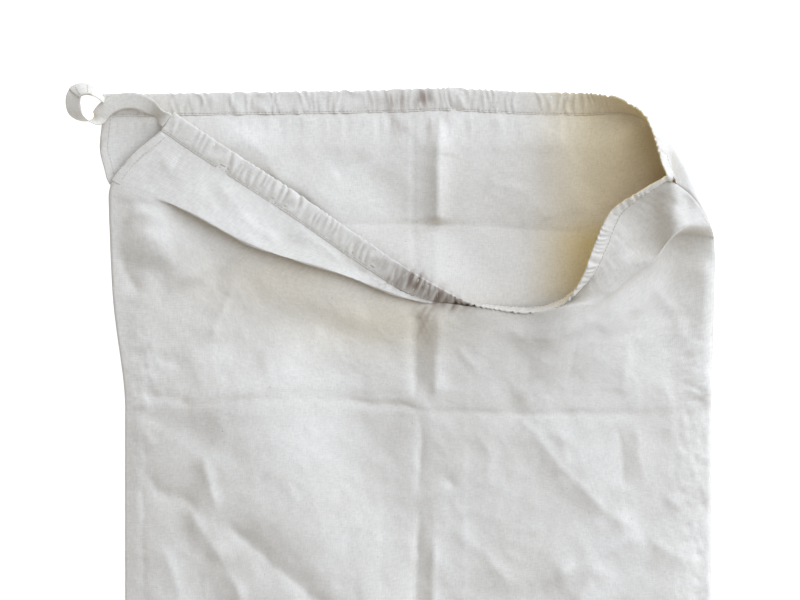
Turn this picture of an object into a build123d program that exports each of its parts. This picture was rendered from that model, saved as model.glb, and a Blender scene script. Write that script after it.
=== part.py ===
from build123d import *
import math
import os

# Cotton drawstring sack lying on its back panel, mouth towards +Y and propped open.
# Millimetres. X runs across the sack, Z is up, and the floor is Z = 0.

# ---- driving dimensions ----
CLOTH = 1.2               # modelled thickness of one layer of canvas
HALF_SPREAD = 238.5       # half of the width that the sack covers on the floor
TOP_Y = 368.0             # back edge of the mouth
BOTTOM_Y = -368.0         # bottom seam
SEAM_Z = 3.5              # height at which the back panel meets the front panel
CASING_DEPTH = 17.5       # turned hem that holds the drawstring
CASING_THICK = 4.6
CHANNEL_DEPTH = 14.7
CHANNEL_THICK = 2.4
TAPE_WIDTH = 12.7
TAPE_THICK = 1.0
THREAD = 0.5
STITCH_INSET = 1.2        # stitch line's distance from the casing's lower edge
ROOM = 0.4                # clearance round the casings, which move as the mouth gathers
HEM_WIDTH = 8.0
HEM_THICK = 2.4
ALLOWANCE_WIDTH = 11.0
ALLOWANCE_THICK = 2.0
CROWN_ROOM = 120.0        # clear height over the open mouth
LOOP_TUBE = 4.0           # round stand-in with the flat tape's section area
SLIT_END = (-230.0, 299.0)
TURN_START_X = 126.0      # where the rim starts to lift off the floor
BACK_CASING_END = TURN_START_X - 2.5

# Mouth rim from the slit to the side seam and round to the back edge:
# a point on the edge, then the direction in which the cloth leaves it.
FRONT_RIM = [
    ((-192, 350, 10), (-0.51, -0.86, 0.00)),
    ((-139, 319, 14), (-0.51, -0.86, 0.00)),
    ((-85, 287, 20), (-0.51, -0.85, -0.10)),
    ((-33, 256, 29), (-0.49, -0.80, -0.34)),
    ((19, 224, 43), (-0.40, -0.66, -0.64)),
    ((62, 203, 60), (-0.20, -0.36, -0.91)),
    ((95, 199, 70), (0.00, -0.15, -0.99)),
    ((116, 203, 73), (0.12, -0.12, -0.98)),
]
TURN_RIM = [
    ((121, 206, 74), (0.17, -0.12, -0.98)),
    ((136, 226, 76), (0.36, -0.14, -0.92)),
    ((145, 252, 77), (0.45, -0.16, -0.88)),
    ((157, 276, 78), (0.42, -0.28, -0.86)),
    ((180, 292, 79), (0.40, -0.30, -0.87)),
    ((201, 304, 78), (0.46, 0.05, -0.89)),
    ((198, 324, 70), (0.30, 0.10, -0.95)),
    ((188, 346, 52), (0.10, 0.00, -1.00)),
    ((169, 361, 31), (0.00, -0.25, -0.97)),
    ((148, 367, 12), (0.00, -0.80, -0.60)),
    ((TURN_START_X, TOP_Y, CASING_THICK / 2 + 0.1), (0.00, -1.00, 0.00)),
]

# Cross-sections of the filled sack, from the bottom to the mouth:
# y, left x, right x, height near the left, middle height, crest x, crest height, height of the right edge.
SECTIONS = [
    (BOTTOM_Y, -221, 233, 7, 8, 120, 8, 3.5),
    (-250, -221, 234, 13, 18, 110, 18, 8),
    (0, -221, 234, 15, 24, 100, 26, 10),
    (120, -222, 236, 15, 27, 110, 38, 14),
    (200, -226, 237, 15, 34, 108, 66, 20),
    (255, -229, HALF_SPREAD, 13, 34, 152, 74, 23),
    (302, -232, 223, 12, 32, 198, 72, 26),
    (335, -236, 203, 11, 26, 192, 58, 26),
    (352, -237, 188, 10, 20, 180, 34, 18),
    (TOP_Y, -HALF_SPREAD, 170, 9, 12, 160, 14, 7),
]

# Free loop of the drawstring: from the front casing, over the back casing, round and into the back casing.
LOOP_ROUTE = [
    (-200.0, 348.5, 11.5),
    (-207.0, 353.5, 10.6),
    (-216.0, 358.0, 9.4),
    (-226.5, 359.5, 8.2),
    (-236.0, 358.0, 7.6),
    (-239.5, 351.0, 6.4),
    (-243.0, 343.5, 4.6),
    (-252.5, 346.5, 4.6),
    (-262.0, 351.5, 7.0),
    (-266.5, 360.5, 10.0),
    (-260.5, 369.0, 11.0),
    (-251.0, 371.0, 8.0),
    (-244.5, 365.0, 4.6),
    (-HALF_SPREAD - 1.6, 359.3, 2.4),
]


def unit(direction):
    return Vector(*direction).normalized()


def station_frames(rim):
    """Edge point, unit direction into the cloth and unit normal out of the sack at each rim station."""
    frames = []
    for index, (point, down) in enumerate(rim):
        before = Vector(*rim[max(index - 1, 0)][0])
        after = Vector(*rim[min(index + 1, len(rim) - 1)][0])
        along = (after - before).normalized()
        depth = unit(down)
        depth = (depth - along * depth.dot(along)).normalized()
        frames.append((Vector(*point), depth, depth.cross(along).normalized()))
    return frames


def strip_along(rim, start, width, thick, lift=0.0):
    """Band that follows the rim: it starts at a depth below the edge and is lifted off the cloth's middle."""
    rings = []
    for edge, depth, normal in station_frames(rim):
        middle = edge + depth * (start + width / 2) + normal * lift
        across = depth * (width / 2)
        up = normal * (thick / 2)
        corners = [middle - across - up, middle + across - up, middle + across + up, middle - across + up]
        rings.append(make_face(Polyline(*corners, close=True)).face())
    return loft(rings, ruled=True)


def casing_along(rim):
    outside = strip_along(rim, 0, CASING_DEPTH, CASING_THICK)
    channel = strip_along(rim, (CASING_DEPTH - CHANNEL_DEPTH) / 2, CHANNEL_DEPTH, CHANNEL_THICK)
    return outside - channel


def tape_along(rim):
    return strip_along(rim, (CASING_DEPTH - TAPE_WIDTH) / 2, TAPE_WIDTH, TAPE_THICK)


def stitches_along(rim, side):
    """Thread on the casing's outer face, or on its inner face where side is -1."""
    start = CASING_DEPTH - STITCH_INSET - THREAD
    return strip_along(rim, start, THREAD, THREAD, side * (CASING_THICK + THREAD) / 2)


def block(x0, x1, y0, y1, z0, z1):
    return Pos((x0 + x1) / 2, (y0 + y1) / 2, (z0 + z1) / 2) * Box(x1 - x0, y1 - y0, z1 - z0)


def bar(start, end, width, thick):
    """Flat bar between two points, its middle line on them."""
    first = Vector(start)
    run = Vector(end) - first
    plane = Plane(origin=first, x_dir=Vector(0, 0, 1).cross(run), z_dir=run)
    return extrude(plane * Rectangle(width, thick), amount=run.length)


def section_face(station, inset):
    """Closed outline of the sack across X at one place: a floor line, and facets over the top."""
    y, left, right, left_z, middle_z, crest_x, crest_z, edge_z = station
    outline = [
        (right - edge_z * 0.7, 0),
        (right - edge_z * 0.15, edge_z * 0.4),
        (right, edge_z),
        (right * 0.45 + crest_x * 0.55, edge_z * 0.35 + crest_z * 0.65),
        (crest_x, crest_z),
        ((left + crest_x) / 2, middle_z),
        (left + HEM_WIDTH * 4, left_z),
        (left, left_z / 3),
        (left + left_z / 2, 0),
    ]
    moved = []
    for index, (x, z) in enumerate(outline):
        before = outline[index - 1]
        after = outline[(index + 1) % len(outline)]
        run = math.hypot(after[0] - before[0], after[1] - before[1])
        moved.append((x - inset * (after[1] - before[1]) / run, z + inset * (after[0] - before[0]) / run))
    if inset:
        moved[0] = (moved[0][0], inset)
        moved[-1] = (moved[-1][0], inset)
    return make_face(Polyline(*[Vector(x, y, z) for x, z in moved], close=True)).face()


def sack_shell():
    outside = loft([section_face(station, 0) for station in SECTIONS], ruled=True)
    inner = [section_face((SECTIONS[0][0] + CLOTH * 2, *SECTIONS[0][1:]), CLOTH)]
    inner += [section_face(station, CLOTH) for station in SECTIONS[1:-1]]
    inner.append(section_face((SECTIONS[-1][0] + CLOTH, *SECTIONS[-1][1:]), CLOTH))
    return outside - loft(inner, ruled=True)


def mouth_prism():
    """Everything above the back panel that the open mouth and the slit leave empty."""
    rim = [point for point, _ in FRONT_RIM + TURN_RIM[1:]]
    outline = [SLIT_END] + [(x, y) for x, y, _ in rim]
    outline += [(TURN_START_X, TOP_Y + CASING_DEPTH), (-HALF_SPREAD - HEM_WIDTH, TOP_Y + CASING_DEPTH)]
    outline += [(-HALF_SPREAD - HEM_WIDTH, SLIT_END[1])]
    face = make_face(Polyline(*outline, close=True))
    return extrude(Pos(0, 0, SEAM_Z) * face, amount=CROWN_ROOM)


def largest(shape):
    return max(shape.solids(), key=lambda solid: solid.volume)


def rounded_route(points):
    """Straight runs joined by tangent arcs, each as large as its two runs allow."""
    places = [Vector(*point) for point in points]
    radii = []
    for before, here, after in zip(places, places[1:], places[2:]):
        first = here - before
        second = after - here
        turn = math.radians(first.get_angle(second))
        radii.append(0.45 * min(first.length, second.length) / math.tan(turn / 2))
    print("loop radii", [round(radius, 1) for radius in radii])
    return FilletPolyline(*places, radius=radii)


def loop_tube():
    path = rounded_route(LOOP_ROUTE)
    section = Plane(origin=path @ 0, z_dir=path % 0) * Circle(LOOP_TUBE / 2)
    tube = sweep(section, path=path)
    print("loop length", round(path.length, 1), "volume ratio", round(tube.volume / (section.area * path.length), 3))
    return tube


PARTS = {}

# ---- casings, tape and stitches along the rim ----
back_y = TOP_Y - CASING_DEPTH
channel_side = (CASING_DEPTH - CHANNEL_DEPTH) / 2
tape_side = (CASING_DEPTH - TAPE_WIDTH) / 2
channel_z = (CASING_THICK - CHANNEL_THICK) / 2
tape_z = (CASING_THICK - TAPE_THICK) / 2
back_block = block(-HALF_SPREAD, BACK_CASING_END, back_y, TOP_Y, 0, CASING_THICK)
back_channel = block(
    -HALF_SPREAD - 1, BACK_CASING_END + 1, back_y + channel_side, TOP_Y - channel_side,
    channel_z, CASING_THICK - channel_z,
)
PARTS["back_casing"] = back_block - back_channel
PARTS["front_casing"] = casing_along(FRONT_RIM)
PARTS["mouth_turn_casing"] = casing_along(TURN_RIM)
PARTS["drawstring_back_run"] = block(
    -HALF_SPREAD, BACK_CASING_END, back_y + tape_side, TOP_Y - tape_side, tape_z, CASING_THICK - tape_z,
)
PARTS["drawstring_front_run"] = tape_along(FRONT_RIM)
PARTS["drawstring_turn_run"] = tape_along(TURN_RIM)
stitch_y = back_y + STITCH_INSET
PARTS["back_casing_stitches"] = block(
    -HALF_SPREAD + 2, BACK_CASING_END, stitch_y, stitch_y + THREAD, CASING_THICK, CASING_THICK + THREAD,
)
PARTS["front_casing_stitches"] = stitches_along(FRONT_RIM, 1)
PARTS["mouth_turn_stitches"] = stitches_along(TURN_RIM, -1)

# ---- hems of the slit ----
front_hem_z = 10.0
hem_reach = HEM_WIDTH / 2
PARTS["back_slit_hem"] = block(
    -HALF_SPREAD, -HALF_SPREAD + HEM_WIDTH, SLIT_END[1], back_y, 0, HEM_THICK,
)
PARTS["front_slit_hem"] = bar(
    (SLIT_END[0] + hem_reach, SLIT_END[1], front_hem_z - 1.5),
    (-206, 330, front_hem_z), HEM_WIDTH, HEM_THICK,
)
PARTS["back_slit_stitches"] = block(
    -HALF_SPREAD + HEM_WIDTH - 2, -HALF_SPREAD + HEM_WIDTH - 2 + THREAD, SLIT_END[1], back_y,
    HEM_THICK, HEM_THICK + THREAD,
)
stitch_lift = (HEM_THICK + THREAD) / 2
PARTS["front_slit_stitches"] = bar(
    (SLIT_END[0] + hem_reach + 2, SLIT_END[1] - 1, front_hem_z - 1.5 + stitch_lift),
    (-204, 329, front_hem_z + stitch_lift), THREAD, THREAD,
)
PARTS["slit_bar_tack"] = block(
    -HALF_SPREAD + 1, -HALF_SPREAD + HEM_WIDTH - 1, SLIT_END[1] - 3, SLIT_END[1], CLOTH, HEM_THICK + THREAD,
)

# ---- panels ----
shell = sack_shell() - mouth_prism()
for rim in (FRONT_RIM, TURN_RIM):
    shell -= strip_along(rim, -ROOM, CASING_DEPTH + ROOM * 2, CASING_THICK + THREAD * 2 + ROOM * 2)
above = block(-300, 300, -400, 420, SEAM_Z, 200)
below = block(-300, 300, -400, 420, -20, SEAM_Z)
back_cuts = block(-300, TURN_START_X + CASING_DEPTH, back_y, 420, -20, 200)
left_cut = block(-300, -HALF_SPREAD + HEM_WIDTH, SLIT_END[1], 420, -20, SEAM_Z)
back_sheet = (shell & below) - back_cuts - left_cut
PARTS["back_panel"] = largest(back_sheet - PARTS["slit_bar_tack"])
PARTS["front_panel"] = largest((shell & above) - PARTS["front_slit_hem"] - PARTS["front_slit_stitches"])

# ---- seam allowances inside the sack, pressed on to the back panel ----
seam_top = CLOTH + ALLOWANCE_THICK
left_x = -208.0
right_x = 196.0
seam_end = 280.0
bottom_inside = BOTTOM_Y + CLOTH * 2
PARTS["left_seam_allowance"] = block(
    left_x, left_x + ALLOWANCE_WIDTH, bottom_inside + ALLOWANCE_WIDTH, seam_end, CLOTH, seam_top,
)
PARTS["right_seam_allowance"] = block(
    right_x, right_x + ALLOWANCE_WIDTH, bottom_inside + ALLOWANCE_WIDTH, seam_end, CLOTH, seam_top,
)
PARTS["bottom_seam_allowance"] = block(
    left_x, right_x + ALLOWANCE_WIDTH, bottom_inside, bottom_inside + ALLOWANCE_WIDTH, CLOTH, seam_top,
)
PARTS["left_seam_stitches"] = block(
    left_x + 2, left_x + 2 + THREAD, bottom_inside + ALLOWANCE_WIDTH, seam_end, seam_top, seam_top + THREAD,
)
PARTS["right_seam_stitches"] = block(
    right_x + ALLOWANCE_WIDTH - 2 - THREAD, right_x + ALLOWANCE_WIDTH - 2,
    bottom_inside + ALLOWANCE_WIDTH, seam_end, seam_top, seam_top + THREAD,
)
PARTS["bottom_seam_stitches"] = block(
    left_x + 2, right_x + ALLOWANCE_WIDTH - 2, bottom_inside + 2, bottom_inside + 2 + THREAD,
    seam_top, seam_top + THREAD,
)

# ---- free loop of the drawstring with its sewn join ----
PARTS["drawstring_loop"] = loop_tube()
join_start = Vector(-261.0, 369.5, 13.0)
join_end = Vector(-250.0, 371.6, 10.0)
PARTS["drawstring_join"] = bar(join_start, join_end, TAPE_WIDTH, TAPE_THICK)
join_run = join_end - join_start
rows = []
for share in (0.25, 0.75):
    middle = join_start + join_run * share + Vector(0, 0, (TAPE_THICK + THREAD) / 2 + 0.05)
    side = Vector(0, 0, 1).cross(join_run).normalized() * (TAPE_WIDTH / 2 - 1)
    rows.append(bar((middle - side), (middle + side), THREAD, THREAD))
PARTS["drawstring_join_stitches"] = Compound(children=rows)

os.makedirs("parts", exist_ok=True)
for name, shape in PARTS.items():
    shape.label = name
    export_step(shape, f"parts/{name}.step")
    box = shape.bounding_box()
    print(f"{name:28s} {len(shape.solids())} {shape.volume:10.1f}", box.min, box.max)
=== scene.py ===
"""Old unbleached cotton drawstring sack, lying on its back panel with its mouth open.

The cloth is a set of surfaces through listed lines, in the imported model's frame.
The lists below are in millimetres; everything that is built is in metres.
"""
import math
import bpy
import numpy as np
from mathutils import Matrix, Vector, noise


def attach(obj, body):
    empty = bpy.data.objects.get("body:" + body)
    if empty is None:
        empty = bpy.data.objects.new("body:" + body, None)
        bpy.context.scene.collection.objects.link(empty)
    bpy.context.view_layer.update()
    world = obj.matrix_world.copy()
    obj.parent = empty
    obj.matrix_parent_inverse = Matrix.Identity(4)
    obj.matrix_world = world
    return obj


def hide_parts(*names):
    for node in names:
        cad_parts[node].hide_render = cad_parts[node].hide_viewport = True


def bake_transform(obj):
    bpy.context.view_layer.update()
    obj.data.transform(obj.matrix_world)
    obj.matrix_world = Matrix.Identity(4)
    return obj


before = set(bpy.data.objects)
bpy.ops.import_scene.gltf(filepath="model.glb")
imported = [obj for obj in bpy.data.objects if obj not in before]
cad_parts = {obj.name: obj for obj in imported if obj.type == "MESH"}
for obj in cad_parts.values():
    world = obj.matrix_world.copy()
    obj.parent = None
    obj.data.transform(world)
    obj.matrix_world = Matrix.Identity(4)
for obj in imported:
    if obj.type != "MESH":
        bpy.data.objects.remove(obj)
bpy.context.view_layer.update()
MM = 0.001

# ---- camera
FIELD_WIDTH = 0.6248
FIELD_CENTRE = (-0.0066, 0.207)
LENS = 400.0
SENSOR = 36.0


def add_object(name, data):
    made = bpy.data.objects.new(name, data)
    bpy.context.scene.collection.objects.link(made)
    return made


camera_data = bpy.data.cameras.new("camera")
camera_data.lens = LENS
camera_data.sensor_width = SENSOR
camera_data.clip_end = 100.0
camera = add_object("camera", camera_data)
camera.location = (*FIELD_CENTRE, FIELD_WIDTH * LENS / SENSOR)
bpy.context.scene.camera = camera

# ---- sizes
CASING_DEPTH = 17.5
STITCH_DEPTH = 15.9
CLOTH = 0.8
TAPE_WIDTH = 12.7
TAPE_THICK = 0.9
CREASE_Y = 122.0
BOTTOM_Y = -366.5
LOW_LINE_Y = BOTTOM_Y + 110
LEFT_X = -221.0
RIGHT_X = 236.0
LOW_RIGHT_X = 236.5
PANEL_WIDTH = 484.0


# ---- curves and grids
def unit(vectors):
    vectors = np.asarray(vectors, float)
    return vectors / np.maximum(np.linalg.norm(vectors, axis=-1, keepdims=True), 1e-12)


def square_to(vectors, along):
    """Unit vectors left when the part along the given directions is taken away."""
    return unit(vectors - along * np.sum(along * vectors, axis=1)[:, None])


def arc_lengths(points):
    steps = np.linalg.norm(np.diff(np.asarray(points, float), axis=0), axis=1)
    return np.concatenate([[0], np.cumsum(steps)])


def hermite(knots, values, tangents, places):
    index = np.clip(np.searchsorted(knots, places, "right") - 1, 0, len(knots) - 2)
    step = np.diff(knots)[index][:, None]
    t = (places - knots[index])[:, None] / step
    ahead = values[index + 1] * (3 * t**2 - 2 * t**3) + tangents[index + 1] * step * (t**3 - t**2)
    return values[index] * (2 * t**3 - 3 * t**2 + 1) + tangents[index] * step * (t**3 - 2 * t**2 + t) + ahead


def firm_curve(knots, values, places):
    """Curve through the values that never swings past them."""
    knots = np.asarray(knots, float)
    values = np.asarray(values, float)
    gap = np.diff(knots)[:, None]
    slope = np.diff(values, axis=0) / gap
    first = 2 * gap[1:] + gap[:-1]
    second = gap[1:] + 2 * gap[:-1]
    agree = slope[:-1] * slope[1:] > 0
    before = np.where(agree, slope[:-1], 1)
    after = np.where(agree, slope[1:], 1)
    inner = np.where(agree, (first + second) / (first / before + second / after), 0)
    tangents = np.vstack([slope[:1], inner, slope[-1:]])
    return hermite(knots, values, tangents, np.asarray(places, float))


def loose_curve(knots, values, places):
    """Rounder curve through the values."""
    knots = np.asarray(knots, float)
    values = np.asarray(values, float)
    return hermite(knots, values, np.gradient(values, knots, axis=0), np.asarray(places, float))


def smoothstep(value, low=0.0, high=1.0):
    t = np.clip((np.asarray(value, float) - low) / (high - low), 0, 1)
    return t * t * (3 - 2 * t)


def uv_pairs(first, second):
    """Cloth coordinates in metres over a grid, from two measures in millimetres."""
    return np.stack(np.broadcast_arrays(first, second), axis=-1) * MM


def at_length(place, lengths, values):
    return np.array([np.interp(place, lengths, values[:, k]) for k in range(3)])


def wavering(*coordinates):
    """Smooth noise at places given by three coordinates, each a list or one number."""
    places = np.stack(np.broadcast_arrays(*coordinates), axis=-1)
    return np.array([noise.noise(Vector(place)) for place in places])


def grid_normals(grid):
    """Unit normals of a grid whose first axis runs across and whose second runs down the cloth."""
    across = np.gradient(grid, axis=0)
    down = np.gradient(grid, axis=1)
    return unit(np.cross(down, across))


def fractal(points, scale, octaves, seed):
    """Noise at each point, from about -1 to 1."""
    shift = Vector((seed * 17.3, seed * 5.1, seed * 9.7))
    flat = np.asarray(points, float).reshape(-1, 3) / scale
    values = [noise.fractal(Vector(p) + shift, 1.0, 2.0, octaves) for p in flat]
    return np.array(values).reshape(np.shape(points)[:-1])


def crumple(points, scale, seed):
    """Sharp-edged noise, like small pressed wrinkles."""
    wander = fractal(points, scale * 1.7, 2, seed + 3)
    moved = np.asarray(points, float) + wander[..., None] * scale * 0.5
    return 1 - 2 * np.abs(fractal(moved, scale, 2, seed))


# ---- folds
def along_path(places, path):
    """Plan distance to a path, positive on its left, and how far along it each place is, from 0 to 1."""
    path = np.asarray(path, float)
    lengths = arc_lengths(path)
    best = np.full(places.shape[:-1], np.inf)
    signed = np.zeros(places.shape[:-1])
    share = np.zeros(places.shape[:-1])
    for start, end, before in zip(path, path[1:], lengths):
        run = end - start
        size = np.linalg.norm(run)
        offset = places - start
        t = np.clip(offset @ run / size**2, 0, 1)
        distance = np.linalg.norm(offset - t[..., None] * run, axis=-1)
        side = np.where(run[0] * offset[..., 1] - run[1] * offset[..., 0] < 0, -1, 1)
        nearer = distance < best
        signed = np.where(nearer, distance * side, signed)
        share = np.where(nearer, (before + t * size) / lengths[-1], share)
        best = np.where(nearer, distance, best)
    return signed, share


def fold(places, path, height, left, right, fade=None, soft=False):
    """Height of one fold: a ridge where height is positive, a valley where it is negative."""
    signed, share = along_path(places, path)
    if fade is None:
        run_out = min(0.5, max(0.15, 14.0 / arc_lengths(path)[-1]))
        fade = (run_out, run_out)
    far = np.abs(signed) / np.where(signed > 0, left, right)
    if soft:
        profile = np.clip(1 - (far / 2.0) ** 2, 0, None) ** 2
    else:
        profile = np.clip((np.exp(-far) - 0.018) / 0.982, 0, None)
    profile = profile * smoothstep(share, 0, fade[0]) * (1 - smoothstep(share, 1 - fade[1], 1))
    return height * profile


# ---- building meshes
def mesh_object(name, points, faces, uvs=None):
    """Mesh in metres from points in millimetres, with one pair of cloth coordinates for each vertex."""
    mesh = bpy.data.meshes.new(name)
    mesh.from_pydata((np.asarray(points, float) * MM).tolist(), [], faces)
    if uvs is not None:
        layer = mesh.uv_layers.new(name="cloth")
        vertex = np.zeros(len(mesh.loops), np.int32)
        mesh.loops.foreach_get("vertex_index", vertex)
        layer.data.foreach_set("uv", np.asarray(uvs, np.float32)[vertex].ravel())
    mesh.polygons.foreach_set("use_smooth", [True] * len(mesh.polygons))
    return add_object(name, mesh)


def ring_tube(name, rings, uvs):
    """Closed tube through rings of points, all of one length."""
    count, around = rings.shape[:2]
    faces = []
    for i in range(count - 1):
        for j in range(around):
            k = (j + 1) % around
            faces.append((i * around + j, i * around + k, (i + 1) * around + k, (i + 1) * around + j))
    faces.append(tuple(range(around))[::-1])
    faces.append(tuple((count - 1) * around + j for j in range(around)))
    return mesh_object(name, rings.reshape(-1, 3), faces, uvs.reshape(-1, 2))


def cloth_object(name, grid, uvs):
    """Closed sheet of even thickness over a grid of points."""
    across, down = grid.shape[:2]
    normals = grid_normals(grid)
    upper = grid + normals * CLOTH / 2
    lower = grid - normals * CLOTH / 2
    points = np.concatenate([upper.reshape(-1, 3), lower.reshape(-1, 3)])
    size = across * down
    faces = []
    for i in range(across - 1):
        for j in range(down - 1):
            a = i * down + j
            faces.append((a, a + 1, a + down + 1, a + down))
            faces.append((size + a, size + a + down, size + a + down + 1, size + a + 1))
    border = [i * down for i in range(across)]
    border += [(across - 1) * down + j for j in range(1, down)]
    border += [i * down + down - 1 for i in range(across - 2, -1, -1)]
    border += [j for j in range(down - 2, 0, -1)]
    for a, b in zip(border, border[1:] + border[:1]):
        faces.append((a, b, size + b, size + a))
    flat = uvs.reshape(-1, 2)
    return mesh_object(name, points, faces, np.concatenate([flat, flat]))


def set_values(made, name, values):
    """Stores one number at each vertex."""
    layer = made.data.attributes.new(name, "FLOAT", "POINT")
    layer.data.foreach_set("value", np.asarray(values, np.float32).ravel())


# Sections of one stitch: share of its length, rise and thickness as shares of its size.
STITCH_SECTIONS = [(0, -0.35, 0.5), (0.25, 0.25, 0.95), (0.5, 0.4, 1), (0.75, 0.25, 0.95), (1, -0.35, 0.5)]
STITCH_SIDES = 6


def stitch_row(name, centres, runs, normals, pitch=3.1, length=2.3, size=0.55):
    """Separate stitches along a line of points, each a short thread that dips at both ends."""
    lengths = arc_lengths(centres)
    points = []
    faces = []
    for begin in np.arange(1.0, lengths[-1] - length, pitch):
        first = len(points)
        for step, rise, thick in STITCH_SECTIONS:
            at = begin + step * length
            middle = at_length(at, lengths, centres)
            run = unit(at_length(at, lengths, runs))
            normal = unit(at_length(at, lengths, normals))
            across = np.cross(run, normal)
            for turn in range(STITCH_SIDES):
                angle = turn * 2 * math.pi / STITCH_SIDES
                out = across * math.cos(angle) + normal * math.sin(angle)
                points.append(middle + normal * rise * size + out * size / 2 * thick)
        last = len(points) - STITCH_SIDES
        for low in range(first, last, STITCH_SIDES):
            high = low + STITCH_SIDES
            for turn in range(STITCH_SIDES):
                after = (turn + 1) % STITCH_SIDES
                faces.append((low + turn, low + after, high + after, high + turn))
        faces.append(tuple(range(first, first + STITCH_SIDES))[::-1])
        faces.append(tuple(range(last, last + STITCH_SIDES)))
    points = np.array(points)
    return mesh_object(name, points, faces, points[:, :2] * MM)


# ---- free loop of the drawstring
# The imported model's route in metres, with its first points moved into the end of the front casing.
LOOP_ROUTE = [
    (-0.1880, 0.3465, 0.0105),
    (-0.1945, 0.3520, 0.0118),
    (-0.2020, 0.3580, 0.0112),
    (-0.2110, 0.3622, 0.0098),
    (-0.2210, 0.3628, 0.0086),
    (-0.2310, 0.3600, 0.0080),
    (-0.2385, 0.3545, 0.0074),
    (-0.2425, 0.3478, 0.0062),
    (-0.2485, 0.3462, 0.0058),
    (-0.2570, 0.3492, 0.0068),
    (-0.2615, 0.3560, 0.0084),
    (-0.2618, 0.3665, 0.0100),
    (-0.2570, 0.3712, 0.0105),
    (-0.2480, 0.3712, 0.0090),
    (-0.2415, 0.3665, 0.0072),
    (-0.2370, 0.3630, 0.0062),
]
# The way one side of the tape faces at each of those points: it turns over where the loop folds.
LOOP_FACING = [
    (0.00, 0.00, 1.00),
    (-0.45, -0.65, 0.60),
    (-0.10, -0.30, 0.95),
    (0.00, -0.05, 1.00),
    (0.05, 0.00, 1.00),
    (0.10, 0.10, 1.00),
    (0.10, 0.20, 0.97),
    (0.20, 0.60, 0.75),
    (0.25, 0.95, 0.15),
    (0.60, 0.65, -0.45),
    (0.45, 0.10, -0.88),
    (0.30, -0.30, -0.90),
    (0.05, -0.62, -0.78),
    (-0.15, -0.78, -0.60),
    (-0.42, -0.80, -0.35),
    (-0.42, -0.78, -0.38),
]


TAPE_STEPS = 8
# The stretch of the loop, as shares of its length, where the tape's two ends overlap.
JOIN_START = 0.785
JOIN_END = 0.905
THREAD_POINTS = 12


def route_line():
    """Points of the route's own smooth line, in metres."""
    curve = bpy.data.curves.new("route", "CURVE")
    curve.dimensions = "3D"
    spline = curve.splines.new("NURBS")
    spline.points.add(len(LOOP_ROUTE) - 1)
    for point, place in zip(spline.points, LOOP_ROUTE):
        point.co = (*place, 1)
    spline.order_u = 3
    spline.use_endpoint_u = True
    spline.resolution_u = 10
    holder = bpy.data.objects.new("route", curve)
    line = np.array([vertex.co[:] for vertex in bpy.data.meshes.new_from_object(holder).vertices])
    bpy.data.objects.remove(holder)
    bpy.data.curves.remove(curve)
    return line


def tape_rings(points, facing, width, thick, lift=0.0):
    """Rings of a flat woven tape with rounded edges, in the units of its points."""
    runs = unit(np.gradient(points, axis=0))
    up = square_to(facing, runs)
    side = np.cross(runs, up)
    places = [-0.5 + step / TAPE_STEPS for step in range(TAPE_STEPS + 1)]
    rings = []
    for through, row in ((0.5, places), (-0.5, places[::-1])):
        for across in row:
            edge = 1 - 0.35 * smoothstep(abs(across), 0.38, 0.5)
            rings.append(points + side * across * width + up * (through * thick * edge + lift))
    return np.stack(rings, axis=1)


def tape_uvs(rings, width):
    lengths = arc_lengths(rings.mean(axis=1))
    half = np.linspace(0, width, rings.shape[1] // 2)
    return uv_pairs(np.concatenate([half, half[::-1]])[None, :], lengths[:, None])


def tape(name, points, facing, width=TAPE_WIDTH, thick=TAPE_THICK, lift=0.0):
    """Flat tape along a line of points."""
    rings = tape_rings(points, facing, width, thick, lift)
    return ring_tube(name, rings, tape_uvs(rings, width))


loop_line = route_line() / MM
loop_stations = arc_lengths(LOOP_ROUTE)
loop_places = arc_lengths(loop_line)
loop_done = loop_places / loop_places[-1]
loop_facing = unit(loose_curve(loop_stations / loop_stations[-1], LOOP_FACING, loop_done))
loop_rings = tape_rings(loop_line, loop_facing, TAPE_WIDTH, TAPE_THICK)
loop_rings[..., 2] = np.maximum(loop_rings[..., 2], 0.1)
loop_tape = ring_tube("drawstring_loop_tape", loop_rings, tape_uvs(loop_rings, TAPE_WIDTH))


# Second layer of tape where its two ends are sewn together.
join_part = (loop_done > JOIN_START) & (loop_done < JOIN_END)
join_line = loop_line[join_part]
join_facing = loop_facing[join_part]
join_tape = tape("drawstring_join_tape", join_line, join_facing, lift=-TAPE_THICK - 0.1)


def join_thread():
    """Two rows of stitches across the join."""
    runs = unit(np.gradient(join_line, axis=0))
    up = square_to(join_facing, runs)
    side = np.cross(runs, up)
    made = []
    for place in (0.25, 0.75):
        index = int(place * (len(join_line) - 1))
        middle = join_line[index] - up[index] * TAPE_THICK * 1.75
        steps = np.linspace(-TAPE_WIDTH * 0.45, TAPE_WIDTH * 0.45, THREAD_POINTS)
        line = middle + steps[:, None] * side[index]
        across = np.repeat(side[index:index + 1], THREAD_POINTS, 0)
        facing = np.repeat(-up[index:index + 1], THREAD_POINTS, 0)
        made.append(stitch_row("join_row", line, across, facing, 2.2, 1.7, 0.45))
    return merge("drawstring_join_thread", made)


def merge(name, made):
    """One object from several."""
    points = []
    faces = []
    for piece in made:
        base = len(points)
        points += [vertex.co / MM for vertex in piece.data.vertices]
        faces += [tuple(base + index for index in polygon.vertices) for polygon in piece.data.polygons]
        bpy.data.objects.remove(piece)
    points = np.array(points)
    return mesh_object(name, points, faces, points[:, :2] * MM)


join_stitches = join_thread()

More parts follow.
